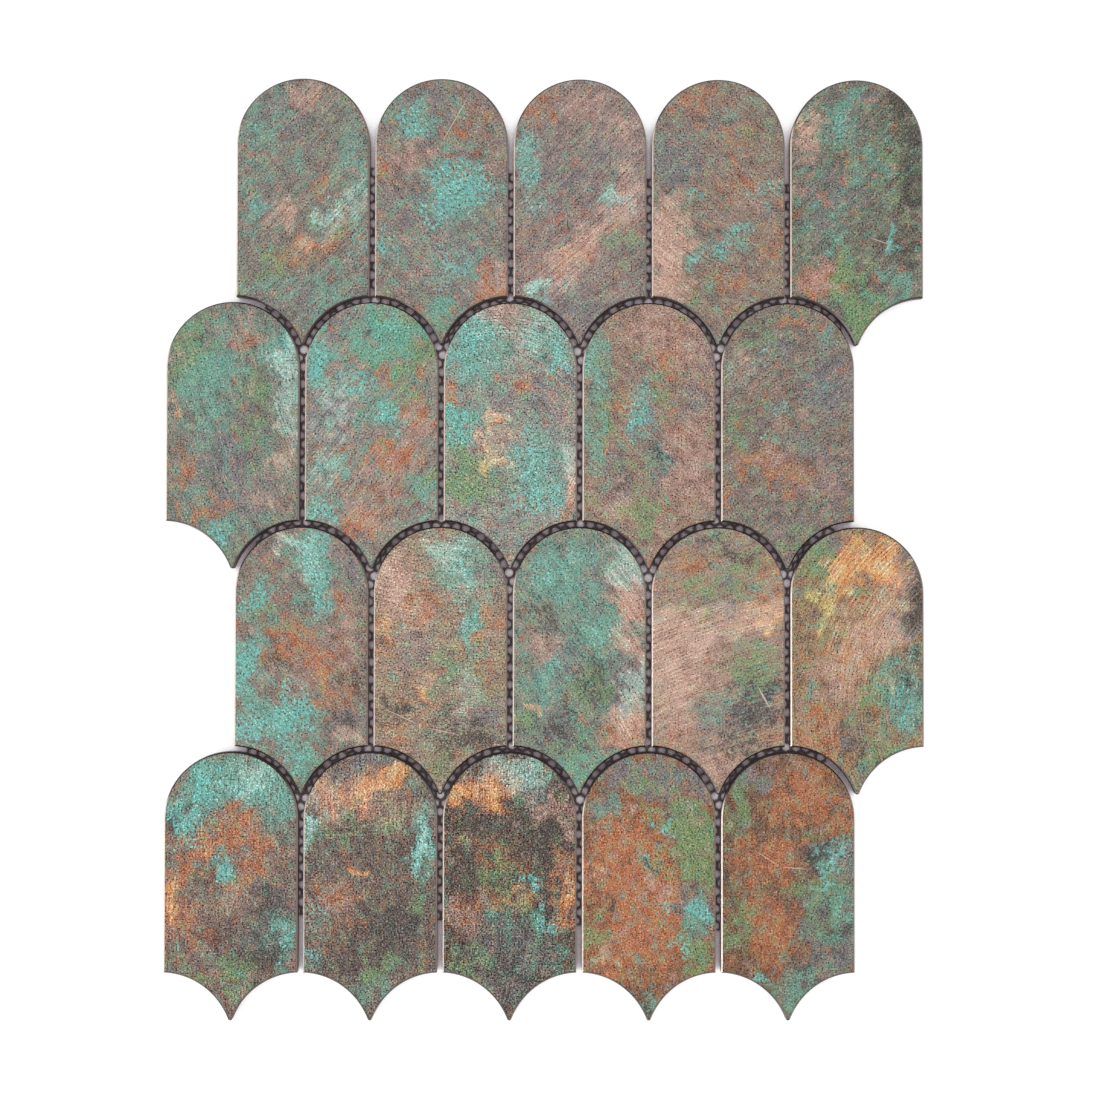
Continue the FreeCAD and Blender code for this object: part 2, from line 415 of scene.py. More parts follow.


# What is on each scale, by row and column, with its blooms listed one by one.
PAINTS: dict[tuple[int, int], Paint] = {
    (1, 1): Paint(
        ground=(132, 127, 120), brush=(-300, 260), strength=0.7, brushing=0.7,
        slate=((0, 8, 9, 8, 40), (2, -56, 16, 8, 30)),
        verdigris=(
            (-15, 5, 8, 16, 60), (18, -8, 7, 18, 55), (-19, -24, 6, 9, 50), (2, -10, 8, 8, 35),
            (-12, -52, 8, 6, 35), (8, -52, 12, 8, 50), (4, -63, 6, 5, 40),
        ),
        moss=((10, -29, 7, 7, 60), (-10, -44, 12, 5, 50, 35)),
        copper=((-13, -3, 5, 5, 50), (10, -12, 6, 6, 45), (6, -36, 14, 4, 65, 20), (-6, -40, 7, 4, 40)),
        rose=((0, 16, 7, 7, 60), (-8, -24, 6, 6, 60), (14, -26, 6, 5, 40)),
        turquoise=((22, -36, 5, 6, 60), (-17, -21, 5, 6, 40), (8, -28, 5, 6, 40)),
        frost=((9, -26, 4, 5, 60), (18, -20, 5, 6, 50)),
        blush=((0, 18, 6, 5, 50), (-8, -26, 4, 5, 90), (4, -35, 9, 3, 50, 40)),
    ),
    (1, 2): Paint(
        ground=(137, 127, 122), brush=(300, 240), strength=0.82, brushing=0.4,
        scratches=(Scratch(11, 20, -1, -1),),
        slate=((-5, 19, 9, 5, 50), (-10, -22, 8, 8, 40), (4, -40, 12, 9, 50)),
        copper=((15, 11, 8, 7, 45), (6, 3, 6, 5, 35), (-21, -6, 5, 8, 45), (20, -50, 7, 8, 60)),
        verdigris=(
            (8, -44, 12, 12, 30), (-12, -42, 10, 9, 30), (0, -62, 9, 8, 50), (-10, 8, 9, 9, 50),
            (6, -18, 14, 12, 45),
        ),
        moss=((-1, -64, 6, 6, 50),),
        rose=((-10, -5, 7, 5, 70), (20, -50, 6, 7, 60), (19, -4, 5, 6, 40), (-4, -42, 10, 8, 35)),
        turquoise=(
            (6, -15, 12, 9, 75), (11, -12, 8, 6, 30), (1, -26, 9, 6, 35), (-12, 5, 5, 7, 55, -20),
            (-8, 12, 5, 4, 30), (-19, -36, 6, 6, 50), (4, -44, 8, 8, 35),
        ),
    ),
    (1, 3): Paint(
        ground=(146, 130, 126), brush=(-280, 280), strength=0.65, brushing=0.7,
        slate=((10, 0, 8, 8, 50), (-4, -14, 8, 9, 45), (0, -60, 12, 7, 50)),
        copper=((-17, 13, 9, 5, 65, 45), (2, -38, 18, 5, 40, 45), (-8, -26, 7, 6, 30)),
        moss=((18, -36, 5, 10, 50), (0, 4, 6, 5, 30)),
        verdigris=((-18, -8, 6, 16, 50), (12, -19, 5, 6, 50)),
        rose=((1, 16, 8, 6, 90), (14, 6, 9, 8, 45), (4, -34, 18, 7, 60, 45), (-14, -45, 7, 6, 40)),
        turquoise=(
            (-19, 0, 4, 7, 80), (-19, -10, 4, 6, 80), (-15, -22, 4, 4, 60), (12, -18, 4, 5, 60),
            (-14, -53, 3, 5, 110), (-3, -50, 3, 3, 60),
        ),
        frost=((-15, -53, 3.5, 3.5, 100), (13, -18, 4, 6, 40)),
        blush=((17, -14, 5, 12, 60), (-6, -46, 8, 6, 70, 45), (6, -32, 12, 5, 60, 45), (15, 6, 8, 5, 30, 45)),
    ),
    (1, 4): Paint(
        ground=(143, 127, 116), brush=(260, 300), strength=0.65, brushing=0.35,
        slate=((-16, -7, 9, 13, 80), (-2, 5, 8, 8, 30), (4, -34, 9, 6, 40)),
        copper=(
            (-7, 17, 10, 6, 50), (6, 3, 9, 7, 40), (9, -14, 9, 8, 50), (6, -50, 14, 7, 40),
            (20, -36, 6, 12, 40),
        ),
        moss=((16, 6, 6, 8, 40), (-8, -52, 6, 8, 35)),
        verdigris=((0, 12, 5, 5, 40), (1, -36, 10, 6, 40)),
        rose=((-18, -36, 6, 12, 130), (-18, -47, 6, 9, 120), (10, -22, 7, 6, 35)),
        turquoise=((18, -16, 4, 5, 80), (0, -38, 6, 4, 80), (8, -31, 6, 3, 70), (-9, -19, 4, 3, 60)),
        blush=((-17, -38, 6, 16, 160),),
    ),
    (1, 5): Paint(
        ground=(112, 114, 103), brush=(-260, 260), strength=0.82, brushing=0.45,
        scratches=(Scratch(4, -33, 13, -36),),
        slate=((-8, -18, 10, 12, 50), (0, 18, 9, 5, 40)),
        copper=((-13, -51, 8, 6, 100), (-5, -42, 5, 4, 30)),
        moss=((16, -10, 7, 12, 60), (-3, -48, 5, 10, 80), (4, -61, 9, 9, 110)),
        verdigris=(
            (-7, 11, 9, 8, 55), (-12, -30, 9, 9, 35), (16, -51, 8, 6, 70), (4, -6, 8, 10, 40),
            (21, -2, 4, 16, 50),
        ),
        rose=((-18, 4, 6, 9, 60, 20), (-13, -49, 7, 7, 90), (-20, -12, 4, 8, 30)),
        bark=((20, 6, 7, 12, 80), (20, -16, 5, 11, 100), (15, 16, 8, 6, 50), (15, -36, 9, 8, 50)),
        turquoise=((13, -33, 2, 6, 90), (-6, 8, 7, 6, 30)),
        blush=((-18, 7, 4, 7, 70, 30),),
    ),
    (2, 1): Paint(
        ground=(124, 131, 122), brush=(240, 60), strength=0.74, brushing=0.6,
        slate=((-3, -32, 12, 10, 60), (2, -47, 12, 8, 60)),
        copper=(
            (5, 12, 6, 3, 50, 30), (-17, -34, 6, 7, 55), (-9, -50, 7, 6, 50), (-21, -44, 4, 6, 40),
            (-14, 4, 4, 4, 30), (-14, -17, 5, 3, 40, 60),
        ),
        moss=((-15, 7, 10, 12, 80), (8, -8, 4, 16, 60), (6, -28, 4, 10, 40)),
        verdigris=(
            (-5, 3, 10, 12, 60), (-10, -12, 9, 14, 70), (14, 10, 8, 9, 60), (-4, -60, 8, 7, 40),
            (-16, -46, 6, 6, 40),
        ),
        rose=((14, -46, 9, 8, 50), (5, 13, 7, 4, 40), (-8, -44, 6, 5, 30)),
        turquoise=((18, 5, 6, 9, 60), (-4, -59, 5, 5, 60), (-6, 0, 8, 8, 30)),
        gold=((-21, -12, 2.5, 7, 50),),
        frost=((21, 2, 4, 12, 110), (21, -17, 3.5, 12, 90)),
        blush=((19, -33, 3, 7, 70),),
    ),
    (2, 2): Paint(
        ground=(146, 142, 133), brush=(-320, 200), strength=0.9, brushing=0.6,
        slate=((-13, 16, 8, 6, 70), (-15, -16, 8, 10, 70), (14, -42, 7, 8, 35)),
        copper=(
            (5, -4, 5, 3, 60, 45), (18, -2, 5, 3, 70, 40), (8, -31, 7, 6, 90), (17, -19, 6, 7, 70),
            (-4, -56, 10, 6, 80), (6, -44, 8, 5, 50), (-12, -44, 6, 4, 35),
        ),
        moss=((10, 10, 15, 11, 120), (18, -38, 7, 7, 50), (14, -10, 6, 6, 40)),
        verdigris=(
            (5, 12, 12, 10, 100), (-20, 3, 7, 12, 80), (20, -46, 5, 7, 50), (4, -14, 9, 7, 70),
            (-14, -36, 8, 10, 40),
        ),
        rose=((4, -38, 14, 12, 35), (16, -22, 7, 8, 40), (-4, -55, 9, 6, 50), (-10, 4, 4, 6, 30)),
        turquoise=(
            (-20, 3, 5, 9, 60), (8, -17, 5, 4, 100), (-6, -7, 6, 4, 70), (-17, -53, 6, 5, 70),
            (6, 14, 10, 8, 30),
        ),
        frost=((-14, -14, 8, 9, 50), (-16, -36, 7, 9, 40)),
    ),
    (2, 3): Paint(
        ground=(158, 157, 149), brush=(-5, -28), strength=0.86, brushing=0.5, grit=1.15,
        slate=((15, -12, 9, 12, 70), (-2, -12, 8, 8, 40), (2, -58, 10, 6, 50)),
        copper=((-23, -10, 4, 5, 80), (3, -6, 3, 4, 50), (21, -45, 5, 7, 70)),
        moss=((-15, -40, 10, 9, 120), (-19, -22, 7, 8, 50)),
        verdigris=((-14, 8, 12, 14, 90), (8, -34, 12, 14, 60), (12, 12, 10, 10, 60), (-18, -18, 7, 8, 80)),
        rose=((-4, 19, 7, 5, 80), (-2, -24, 6, 6, 40), (21, -44, 4, 7, 80), (18, -16, 6, 8, 35)),
        turquoise=(
            (-14, 8, 10, 12, 55), (-19, -19, 6, 7, 70, 30), (18, 6, 4, 6, 90), (10, -45, 8, 8, 70),
            (8, -28, 8, 9, 45),
        ),
        gold=(
            (-9, -24, 3.5, 8, 50, -15), (-3, -19, 6, 3, 40, 10), (-6, -34, 5, 5, 50, 35),
            (1, -35, 6, 3, 45, -10),
        ),
        frost=((8, 12, 10, 5, 50, 40), (-8, 16, 8, 5, 40), (21, -34, 4, 8, 60)),
        blush=((21, -40, 3.5, 9, 60),),
    ),
    (2, 4): Paint(
        ground=(156, 131, 116), brush=(260, 280), strength=0.75, brushing=0.4, grit=1.05,
        slate=(
            (-2, -8, 4, 7, 60), (3, -33, 4, 9, 90), (15, -10, 5, 8, 60), (-3, -18, 5, 7, 70),
            (20, 4, 4, 7, 50), (-11, -42, 4, 10, 100),
        ),
        copper=((-7, -12, 5, 4, 70), (6, 6, 8, 7, 40), (8, -24, 6, 5, 40), (-23, -51, 3, 5, 70)),
        moss=((-2, -53, 6, 7, 110), (-4, -36, 6, 6, 50), (-16, -14, 5, 14, 60), (6, -6, 6, 8, 35)),
        verdigris=((-21, 3, 6, 14, 90), (-20, -26, 6, 16, 70), (-3, -16, 5, 9, 60), (2, -32, 5, 7, 40)),
        rose=(
            (2, 15, 12, 10, 100), (15, 4, 8, 12, 60), (15, -34, 9, 16, 90), (-12, -44, 7, 7, 50),
            (4, -62, 6, 7, 50),
        ),
        bark=((2, -32, 3, 7, 40), (-12, -42, 4, 8, 25)),
        turquoise=((-4, -16, 4, 9, 50, 10), (-20, 2, 5, 8, 40), (2, -8, 4, 4, 40)),
        blush=((-9, -50, 5, 7, 50),),
    ),
    (2, 5): Paint(
        ground=(132, 119, 110), brush=(-240, 300), strength=0.7, brushing=0.4,
        slate=(
            (15, -6, 9, 12, 80), (-4, 8, 8, 8, 50), (6, -26, 9, 6, 40), (0, -58, 10, 8, 35),
            (14, -40, 8, 10, 60),
        ),
        copper=(
            (6, 18, 8, 2, 80), (-10, -34, 10, 6, 60), (4, -38, 10, 6, 50), (19, 0, 1.5, 6, 50),
            (-22, -48, 3, 8, 60),
        ),
        moss=((-10, 13, 8, 7, 50), (-16, -20, 8, 9, 40), (2, -60, 8, 7, 40)),
        verdigris=((13, 12, 5, 5, 50), (-18, 0, 5, 8, 40)),
        rose=((-14, -4, 8, 8, 40), (-7, -31, 6, 4, 80), (2, -18, 7, 6, 40), (12, -42, 9, 7, 40)),
        turquoise=((-4, -15, 3, 4, 60), (-7, -25, 3, 3, 50), (-8, 4, 4, 4, 40)),
        blush=((-18, 4, 5, 5, 40),),
    ),
    (3, 1): Paint(
        ground=(140, 125, 115), brush=(280, 220), strength=0.82, brushing=0.4,
        slate=((19, 10, 6, 10, 60), (16, -44, 9, 9, 70), (-10, 12, 8, 6, 35)),
        copper=(
            (13, -3, 4, 6, 80), (-4, -17, 10, 8, 80), (9, -25, 8, 7, 60), (12, -38, 8, 6, 50),
            (-9, 9, 4, 4, 40),
        ),
        moss=((-13, -10, 6, 7, 40), (2, -62, 6, 6, 50)),
        verdigris=(
            (4, 6, 9, 16, 60), (-16, -3, 8, 9, 50), (-19, -30, 7, 14, 70), (-6, -46, 14, 9, 60),
            (-1, -61, 7, 7, 80),
        ),
        rose=((16, -16, 7, 10, 50), (0, -30, 8, 7, 30)),
        bark=((16, -30, 8, 9, 35), (12, -48, 8, 6, 45), (-7, -22, 6, 5, 40)),
        turquoise=(
            (6, 3, 5, 11, 90), (3, 17, 7, 5, 80), (-16, -2, 5, 5, 70), (-21, -26, 5, 10, 90),
            (-10, -46, 11, 8, 80), (-1, -40, 5, 8, 70), (-1, -58, 5, 5, 50), (-20, -52, 5, 6, 90),
        ),
        gold=((9, -31, 5, 4, 40),),
        frost=((-4, 18, 7, 5, 50), (4, 8, 5, 9, 40)),
        blush=((18, -51, 3.5, 4, 80),),
    ),
    (3, 2): Paint(
        ground=(166, 144, 124), brush=(20, 180), strength=0.72, brushing=0.4, grit=1.15,
        scratches=(Scratch(-21, -41, -6, -48), Scratch(-6, -48, 8, -51)),
        slate=((20, 9, 5, 10, 70), (16, -45, 9, 8, 70), (-8, -20, 9, 9, 60), (6, -30, 8, 8, 35)),
        copper=(
            (-6, -6, 6, 6, 70), (-21, -14, 5, 8, 60), (16, -10, 6, 8, 60), (17, -26, 6, 7, 40),
            (-6, -38, 8, 5, 40), (-14, -50, 8, 6, 40),
        ),
        moss=((4, -24, 10, 9, 45), (14, -34, 8, 8, 40), (0, -60, 8, 8, 50)),
        verdigris=((7, 10, 11, 12, 90), (11, -14, 5, 9, 60), (-4, -50, 7, 6, 30)),
        rose=((-16, 3, 7, 11, 100, 10), (-12, -24, 9, 8, 40)),
        bark=((14, -52, 10, 6, 50), (3, -48, 8, 6, 45), (-18, -42, 6, 6, 45), (4, -58, 9, 6, 35)),
        turquoise=((11, -12, 3, 8, 80), (8, 12, 8, 8, 40), (-16, -12, 3, 3, 40)),
        gold=((-4, -32, 4, 6, 60), (-20, -10, 4, 6, 40), (0, -20, 8, 4, 30)),
        frost=((2, 16, 7, 6, 60), (10, -34, 5, 9, 45), (10, 4, 5, 8, 30)),
        blush=((-16, 5, 6, 10, 80, 10), (-10, -10, 8, 8, 35)),
    ),
    (3, 3): Paint(
        ground=(130, 140, 128), brush=(-260, -200), strength=0.8, brushing=0.5,
        slate=((14, -32, 8, 9, 80), (-4, -22, 8, 10, 50), (8, 2, 8, 8, 40), (-8, -50, 9, 7, 90)),
        copper=(
            (17, -2, 6, 6, 80), (17, -51, 8, 7, 130), (-18, 15, 6, 5, 50), (19, -20, 4, 4, 50),
            (-17, -11, 4, 4, 40),
        ),
        moss=((6, -33, 7, 7, 70), (-18, -46, 6, 5, 60), (2, -58, 8, 9, 60), (6, -16, 7, 7, 40)),
        verdigris=((-8, 8, 13, 13, 80), (4, -14, 12, 12, 55), (-12, -32, 9, 12, 60), (2, -62, 8, 8, 50)),
        rose=((17, -2, 6, 6, 100), (17, -48, 8, 7, 80), (-14, -19, 6, 5, 100), (19, -20, 5, 5, 80)),
        bark=((4, -32, 9, 11, 40), (-8, -50, 12, 9, 40), (-12, -8, 10, 8, 30), (-8, 14, 9, 6, 25)),
        turquoise=((-10, 6, 8, 8, 35), (2, 15, 8, 5, 35), (-10, -28, 6, 8, 30), (8, -12, 8, 8, 30)),
        gold=((-18, -40, 4, 2, 90, 35),),
        frost=((18, 10, 7, 9, 100), (20, -32, 5, 11, 80)),
        blush=((18, -12, 6, 12, 60), (17, -46, 7, 7, 50)),
    ),
    (3, 4): Paint(
        ground=(166, 143, 127), brush=(60, -200), strength=0.74, brushing=0.6, grit=0.92,
        scratches=(Scratch(14, -33, 19, -42, 0.5),),
        slate=(
            (3, -2, 1.5, 11, 80), (-1, -46, 5, 10, 60), (14, -36, 6, 4, 90, -30), (-6, 19, 10, 4, 50),
            (12, -43, 7, 9, 100),
        ),
        copper=((-13, 9, 9, 8, 60), (15, 6, 8, 9, 60), (-17, -52, 7, 6, 70), (18, -50, 6, 6, 50)),
        moss=((6, 11, 6, 8, 70), (-3, 1, 6, 6, 60), (13, -28, 9, 9, 90), (14, 10, 6, 5, 40)),
        verdigris=((12, 2, 5, 4, 60), (2, -40, 7, 7, 35)),
        rose=(
            (-15, -22, 10, 14, 90), (-2, -24, 8, 9, 60), (-14, -46, 8, 9, 80), (0, -61, 6, 7, 80),
            (14, -12, 10, 6, 50),
        ),
        bark=((14, -42, 10, 11, 55), (6, -54, 9, 8, 40), (2, 16, 12, 6, 35)),
        gold=((16, -8, 9, 5, 50, 10),),
        blush=(
            (-13, -14, 13, 7, 150, 14), (6, -9, 12, 6, 110, 14), (18, -5, 8, 5, 90, 14),
            (-15, -30, 9, 16, 75), (-2, -60, 5, 6, 40),
        ),
    ),
    (3, 5): Paint(
        ground=(158, 128, 96), brush=(60, -40), strength=0.8, brushing=0.8,
        slate=((20, 4, 5, 10, 110), (17, -12, 7, 6, 100), (-10, 19, 7, 5, 70), (-2, -51, 9, 8, 40)),
        copper=((6, 10, 13, 10, 90), (-14, -50, 8, 8, 90), (-4, -20, 10, 9, 50)),
        moss=(
            (-15, 14, 7, 8, 90), (-12, -8, 4, 12, 80), (6, -34, 6, 9, 60), (8, -60, 8, 9, 80),
            (-2, 4, 6, 6, 30),
        ),
        verdigris=((17, -37, 9, 13, 110), (2, -64, 6, 6, 50)),
        rose=((6, -14, 9, 8, 60), (-10, -33, 9, 10, 60)),
        bark=((21, -2, 5, 11, 110), (18, -34, 8, 14, 60), (-4, -50, 10, 9, 30), (6, -62, 8, 8, 40)),
        turquoise=((17, -38, 7, 11, 55),),
        gold=((4, 12, 13, 8, 100), (-9, 0, 4, 14, 80, -20), (12, -32, 4, 4, 40)),
        blush=((6, -13, 11, 10, 100), (13, 2, 7, 8, 70), (-4, -28, 7, 9, 50)),
    ),
    (4, 1): Paint(
        ground=(128, 108, 100), brush=(400, -30), strength=0.86, brushing=0.15, grit=1.2,
        slate=((14, -34, 10, 12, 60), (0, -46, 12, 7, 35)),
        copper=(
            (2, -2, 8, 8, 110), (-10, -11, 9, 7, 80), (10, -12, 7, 8, 60), (-20, -30, 6, 14, 100),
            (4, -22, 8, 6, 60), (-10, -40, 8, 6, 50), (-20, 9, 4, 7, 60),
        ),
        moss=((2, -57, 6, 9, 90), (-14, -56, 6, 6, 40)),
        verdigris=(
            (4, 16, 16, 9, 100), (16, 6, 8, 12, 80), (-14, 6, 9, 12, 60), (-2, -18, 4, 6, 60),
            (16, -44, 8, 10, 50),
        ),
        bark=(
            (14, -32, 9, 9, 70), (10, -50, 10, 8, 75), (-4, -40, 10, 7, 50), (-20, 0, 5, 8, 60),
            (-8, -22, 8, 6, 40),
        ),
        turquoise=(
            (-10, 14, 5, 9, 100, 10), (-15, 0, 6, 8, 90), (2, 12, 10, 6, 40), (-2, -18, 3, 4, 80),
            (19, -44, 4, 7, 60), (16, 8, 7, 9, 30),
        ),
        gold=((-21, -28, 3, 8, 70), (-8, -10, 5, 4, 30)),
        frost=((7, 14, 8, 7, 60),),
        blush=((0, -30, 8, 6, 30),),
    ),
    (4, 2): Paint(
        ground=(114, 98, 91), brush=(400, 10), strength=0.7, brushing=0.15, grit=1.25,
        slate=((0, 20, 9, 4, 90), (12, -38, 9, 8, 40)),
        copper=(
            (-12, 7, 11, 7, 80), (6, 14, 10, 5, 70), (-10, -26, 10, 6, 60), (-4, -17, 3, 3, 100),
            (-12, -40, 9, 8, 50),
        ),
        moss=((-9, -3, 9, 6, 40), (9, 2, 8, 6, 50), (3, -53, 6, 6, 80), (16, -30, 6, 8, 50)),
        verdigris=((19, -8, 6, 14, 70), (-21, -3, 5, 9, 70), (2, -62, 7, 7, 40), (-16, -44, 6, 8, 35)),
        rose=((-14, -31, 10, 7, 50), (-16, 4, 6, 6, 40)),
        bark=(
            (-2, -40, 16, 10, 50), (14, -38, 10, 12, 50), (4, -12, 10, 5, 50), (-14, -52, 9, 7, 45),
            (12, 4, 6, 5, 40),
        ),
        turquoise=(
            (19, -6, 4, 10, 100), (17, -15, 4, 6, 90), (-22, -4, 3, 8, 80), (-18, -34, 5, 5, 40),
            (-20, -48, 4, 6, 50),
        ),
        gold=((9, 15, 8, 3, 120, 25), (0, 11, 7, 3, 70, 20), (-12, 8, 6, 4, 30), (-4, -17.5, 2, 2, 100)),
        frost=((-21, -2, 3, 9, 50), (19, -7, 3, 10, 50)),
        blush=((-9, 9, 11, 8, 90), (8, 4, 9, 8, 50)),
    ),
    (4, 3): Paint(
        ground=(86, 73, 64), brush=(-400, 20), strength=0.72, brushing=0.3, grit=1.35,
        slate=((0, -46, 14, 8, 70), (0, -60, 9, 7, 60), (10, 8, 7, 6, 40)),
        copper=(
            (-16, 9, 9, 6, 110), (-4, 8, 8, 6, 60), (-2, -15, 7, 5, 70), (4, -28, 8, 5, 60),
            (21, -20, 5, 9, 100), (20, -31, 5, 6, 90), (-12, -30, 9, 6, 60), (-8, -9, 8, 5, 60),
        ),
        moss=((-4, -18, 10, 6, 70), (4, -29, 7, 5, 50), (-10, -50, 9, 7, 40)),
        verdigris=((8, 17, 9, 5, 35), (-4, -40, 12, 7, 20), (14, -38, 6, 5, 50), (10, -52, 10, 7, 40)),
        rose=((15, 4, 6, 4, 110), (22, 0, 3, 5, 70), (-16, -36, 6, 7, 60)),
        bark=(
            (13, -7, 7, 7, 80), (-10, -4, 11, 6, 50), (-14, -20, 9, 8, 60), (13, -28, 4, 6, 110),
            (2, -12, 8, 4, 50), (2, -46, 12, 7, 50), (4, -22, 6, 4, 40), (0, -58, 9, 9, 50),
        ),
        turquoise=((8, -21, 4.5, 3, 110), (15, -38, 4, 4, 100), (6, 15, 4, 4, 40), (-4, -36, 6, 3, 40)),
        gold=((-18, 9, 5, 3.5, 80, 20), (-6, 9, 8, 5, 50), (21, -28, 3, 6, 60), (3, -28, 4, 3, 40)),
        frost=((0, 18, 12, 5, 80), (5, 12, 7, 6, 50)),
        blush=((-8, 13, 10, 6, 70),),
    ),
    (4, 4): Paint(
        ground=(150, 98, 66), brush=(400, 60), strength=0.85, brushing=0.15, grit=1.02, mingling=0.95,
        slate=(
            (-8, 17, 12, 6, 110), (4, 15, 9, 6, 90), (18, 15, 6, 7, 90), (-18, 3, 5, 6, 70),
            (17, -33, 8, 8, 120), (6, 4, 6, 5, 50),
        ),
        copper=((-8, -14, 15, 14, 100), (-4, -40, 15, 14, 100), (6, -26, 8, 10, 60)),
        moss=(
            (17, -10, 8, 15, 140), (8, 2, 8, 6, 80), (17, -48, 6, 9, 90), (2, 14, 6, 6, 50),
            (-20, -40, 4, 8, 60), (2, -16, 4, 4, 50),
        ),
        verdigris=((-16, 5, 6, 6, 50), (18, -36, 6, 7, 60), (0, -68, 6, 6, 70)),
        rose=((4, -26, 6, 6, 50), (14, 18, 6, 4, 40)),
        bark=(
            (2, -17, 2, 2, 100), (-15, -31, 2.5, 3, 100), (-20, 1, 4, 5, 50), (0, -67, 6, 6, 70),
            (13, -34, 5, 6, 40),
        ),
        turquoise=(
            (7, -4, 2.5, 5, 100), (1, -16, 3, 3, 60), (20, -33, 4, 5, 100), (9, -31, 3, 3, 50),
            (12, -46, 3, 4, 50),
        ),
        blush=((-19, -18, 4, 2, 60, -40), (-14, -49, 6, 2, 50, -20)),
    ),
    (4, 5): Paint(
        ground=(124, 90, 66), brush=(-400, 40), strength=0.74, brushing=0.15, mingling=0.85,
        scratches=(Scratch(-12, -11, -3, -17), Scratch(-3, -17, 8, -18)),
        slate=(
            (-14, 15, 7, 7, 80), (18, -20, 7, 10, 120), (16, -38, 10, 14, 130), (12, -56, 11, 8, 110),
            (10, -13, 5, 5, 60),
        ),
        copper=(
            (6, 9, 12, 11, 110), (20, -1, 4, 8, 70), (-6, -14, 13, 9, 90), (-4, -42, 8, 11, 90),
            (-12, -30, 7, 7, 50),
        ),
        moss=(
            (-18, 3, 5, 10, 90), (-17, -38, 6, 9, 80), (16, -30, 8, 14, 70), (6, -24, 6, 7, 50),
            (8, -58, 9, 8, 50),
        ),
        verdigris=((14, -16, 6, 4, 50, 30), (18, -34, 7, 12, 35), (2, -62, 9, 7, 60)),
        bark=((10, -13, 4, 4, 100), (-21, -20, 3.5, 2.5, 110, -30), (17, -40, 7, 10, 45), (6, -54, 6, 5, 40)),
        turquoise=((18, -12, 6, 4, 70, 20), (12, -22, 4, 5, 60), (20, -32, 4, 6, 40), (-10, -57, 4, 3, 90)),
    ),
}


@dataclass(frozen=True)
class Outline:
    """Outline of a scale: a round dome, straight flanks, and a hollow scallop on each side of its point."""

    half_width: float = 24.0
    joint: float = 2.0
    flank: float = 55.0
    back_height: float = 0.5
    face_height: float = 4.5
    bevel: float = 0.5

    @property
    def half_pitch(self) -> float:
        """Half the pitch of a row."""
        return self.half_width + self.joint / 2

    @property
    def scallop(self) -> float:
        """Radius of the hollow scallops."""
        return self.half_width + self.joint

    @property
    def drop(self) -> float:
        """Depth of the middle of the scallops below the middle of the dome."""
        return self.flank + math.sqrt(self.scallop**2 - (self.joint / 2) ** 2)

    def depth(self, u: float, v: float) -> float:
        """How far a point lies inside the outline.

        Args:
            u: Place across the scale.
            v: Place along it.

        Returns:
            The distance to the edge, less than 0 outside.
        """
        in_dome = self.half_width - math.hypot(u, max(v, 0.0))
        return min(in_dome, math.hypot(abs(u) - self.half_pitch, v + self.drop) - self.scallop)

    def depth_wires(self, graph: Graph, u: Wire, v: Wire) -> tuple[Wire, Wire]:
        """The same distance worked out by shader nodes, in two parts.

        Args:
            graph: The material's nodes.
            u: Place across the scale.
            v: Place along it.

        Returns:
            The distance to the dome or flank, and that to the nearer scallop.
        """
        in_dome = self.half_width - graph.vector("LENGTH", graph.join(u, v.most(0.0)), output=1)
        to_scallop = graph.join(abs(u) - self.half_pitch, v + self.drop)
        return in_dome, graph.vector("LENGTH", to_scallop, output=1) - self.scallop


